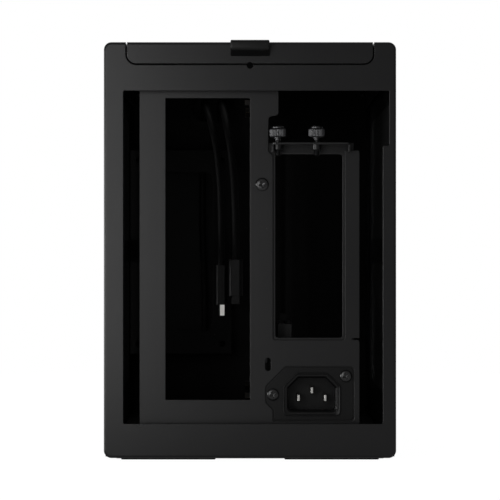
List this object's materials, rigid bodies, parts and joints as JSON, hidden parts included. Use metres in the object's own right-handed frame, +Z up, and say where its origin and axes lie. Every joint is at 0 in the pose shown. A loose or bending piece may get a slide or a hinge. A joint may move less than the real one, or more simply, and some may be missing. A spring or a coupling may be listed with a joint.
{
  "type": "mini-itx computer case",
  "caption": "Compact two-chamber computer case: lift-off vented top, swing-out vented sides, sideways-adjustable spine with inlet, riser and card opening, front sockets and button.",
  "frame": {"origin": "middle of the footprint, on the surface that the feet stand on", "axes": "+Z up, -Y out of the rear, +X to the right when the rear is looked at"},
  "size_m": [0.153, 0.35, 0.2193],
  "materials": {
    "shell": "fine-textured satin black on aluminium sheet",
    "chassis_steel": "satin black powder coat on folded steel",
    "rubber": "matt black rubber",
    "black_plastic": "moulded matt black",
    "steel_screws": "black zinc plating, worn bright on edges",
    "plated_metal": "bright nickel plating",
    "brass_parts": "turned brass",
    "aluminium_parts": "turned aluminium",
    "circuit_board": "black solder mask",
    "cable_jacket": "soft black jacket"
  },
  "bodies": {
    "chassis": {"rear_frame": "shell", "front_panel": "shell", "base_tray": "chassis_steel", "top_rail_left": "chassis_steel", "top_rail_right": "chassis_steel", "front_bulkhead": "chassis_steel", "psu_bracket": "chassis_steel", "foot_rear_left": "rubber", "foot_rear_right": "rubber", "foot_front_left": "rubber", "foot_front_right": "rubber", "cable_grommet": "rubber", "snap_grommets": "black_plastic", "usb_a_plug": "black_plastic", "power_switch": "black_plastic", "usb_c_port": "plated_metal", "usb_a_ports": "plated_metal", "usb_c_plug": "plated_metal", "io_board_spacers": "plated_metal", "io_board": "circuit_board", "usb_c_cable": "cable_jacket", "usb_a_cable": "cable_jacket"},
    "top_panel": {"top_panel": "shell", "pull_tab": "black_plastic", "top_panel_studs": "aluminium_parts"},
    "left_panel": {"left_side_panel": "shell", "left_panel_studs": "aluminium_parts"},
    "right_panel": {"right_side_panel": "shell", "right_panel_studs": "aluminium_parts"},
    "spine": {"rear_plate": "chassis_steel", "spine_plate": "chassis_steel", "spine_clamp_screws": "steel_screws", "plate_screw": "steel_screws", "motherboard_standoffs": "brass_parts", "gpu_bracket": "chassis_steel", "inlet_socket": "black_plastic", "inlet_pins": "plated_metal", "inlet_screws": "steel_screws", "riser_bracket": "chassis_steel", "riser_board": "circuit_board", "riser_socket": "black_plastic", "riser_ribbon": "cable_jacket", "riser_plug": "black_plastic", "power_lead": "cable_jacket", "lead_clips": "black_plastic", "power_lead_plug": "black_plastic"},
    "thumbscrew_1": {"gpu_thumbscrew_1": "steel_screws"},
    "thumbscrew_2": {"gpu_thumbscrew_2": "steel_screws"},
    "power_button": {"power_button": "aluminium_parts"}
  },
  "joints": [
    {"name": "top_panel_lift", "type": "slide", "parent": "chassis", "child": "top_panel", "axis": [0, 0, 1], "range_m": [0, 0.06]},
    {"name": "left_panel_swing", "type": "hinge", "parent": "chassis", "child": "left_panel", "pos_m": [-0.0749, 0, 0.0039], "axis": [0, -1, 0], "range_deg": [0, 90]},
    {"name": "right_panel_swing", "type": "hinge", "parent": "chassis", "child": "right_panel", "pos_m": [0.0749, 0, 0.0039], "axis": [0, 1, 0], "range_deg": [0, 90]},
    {"name": "spine_shift", "type": "slide", "parent": "chassis", "child": "spine", "axis": [1, 0, 0], "range_m": [-0.0145, 0.0145]},
    {"name": "thumbscrew_1_turn", "type": "hinge", "parent": "spine", "child": "thumbscrew_1", "pos_m": [0.0146, -0.1633, 0.166], "axis": [0, 0, 1], "continuous": true},
    {"name": "thumbscrew_2_turn", "type": "hinge", "parent": "spine", "child": "thumbscrew_2", "pos_m": [0.03492, -0.1633, 0.166], "axis": [0, 0, 1], "continuous": true},
    {"name": "power_button_press", "type": "slide", "parent": "chassis", "child": "power_button", "axis": [0, -1, 0], "range_m": [0, 0.0012], "stiffness_N_per_m": 900, "springref_m": -0.0008}
  ]
}
